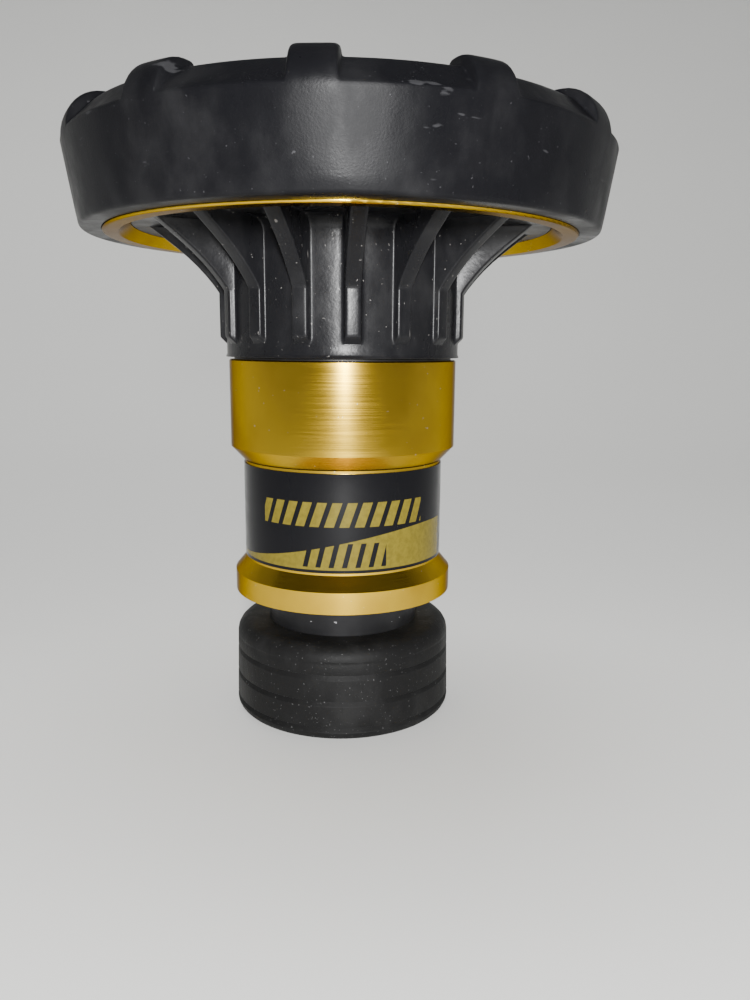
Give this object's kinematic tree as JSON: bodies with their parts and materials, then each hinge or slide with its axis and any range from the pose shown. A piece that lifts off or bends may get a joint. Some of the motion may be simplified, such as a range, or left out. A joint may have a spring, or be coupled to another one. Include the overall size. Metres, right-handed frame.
{
  "type": "fire hose nozzle",
  "caption": "Twist-to-open fire hose nozzle with a swivel hose coupling, a turned metal body, a ribbed grip and a rubber front bumper.",
  "frame": {"origin": "centre of the coupling's inlet face, on the nozzle's axis", "axes": "+Z along the nozzle's axis from the hose inlet to the outlet; +X and +Y are square to it, with the cam pins along X"},
  "size_m": [0.1226, 0.1226, 0.1376],
  "materials": {
    "black_anodised": "hard black anodised, satin",
    "gold_anodised": "gold anodised, fine turning lines, satin",
    "sleeve_rubber": "matte moulded rubber",
    "bumper_rubber": "satin moulded rubber, scuffed",
    "seal_rubber": "smooth seal rubber",
    "grip_plastic": "semi-gloss moulded nylon",
    "bearing_plastic": "black acetal",
    "label_black": "glossy printed film, black with a yellow flow wedge",
    "stainless": "bright stainless steel",
    "brass": "machined brass"
  },
  "bodies": {
    "body": {"nozzle_body": "gold_anodised", "label_band": "label_black", "stem_guide": "black_anodised", "guide_retaining_ring": "stainless", "seat_ring": "brass", "seat_oring": "seal_rubber", "swivel_oring": "seal_rubber", "head_orings": "seal_rubber", "thrust_washer": "bearing_plastic", "front_washer": "bearing_plastic", "head_retaining_ring": "stainless"},
    "coupling": {"coupling_nut": "black_anodised", "coupling_sleeve": "sleeve_rubber", "hose_gasket": "seal_rubber", "inlet_screen": "stainless", "swivel_balls": "stainless", "ball_plug": "stainless"},
    "head": {"cam_sleeve": "black_anodised", "grip_neck": "grip_plastic", "rim_ring": "gold_anodised", "bumper": "bumper_rubber", "outlet_bowl": "black_anodised", "bowl_screws": "stainless", "tooth_ring": "stainless"},
    "stem": {"stem_carrier": "black_anodised", "carrier_orings": "seal_rubber", "cam_pins": "stainless", "valve_stem": "stainless", "stem_nut": "stainless", "baffle_head": "gold_anodised", "baffle_seal": "seal_rubber", "baffle_cap_nut": "stainless"}
  },
  "joints": [
    {"name": "coupling_swivel", "type": "hinge", "parent": "body", "child": "coupling", "pos_m": [0, 0, 0.01], "axis": [0, 0, 1], "continuous": true},
    {"name": "head_twist", "type": "hinge", "parent": "body", "child": "head", "pos_m": [0, 0, 0.1], "axis": [0, 0, -1], "range_deg": [0, 150]},
    {"name": "stem_slide", "type": "slide", "parent": "body", "child": "stem", "axis": [0, 0, 1], "range_m": [0, 0.006]}
  ],
  "couplings": [
    {"joint": "stem_slide", "follows": "head_twist", "m_per_rad": 0.0022918}
  ]
}
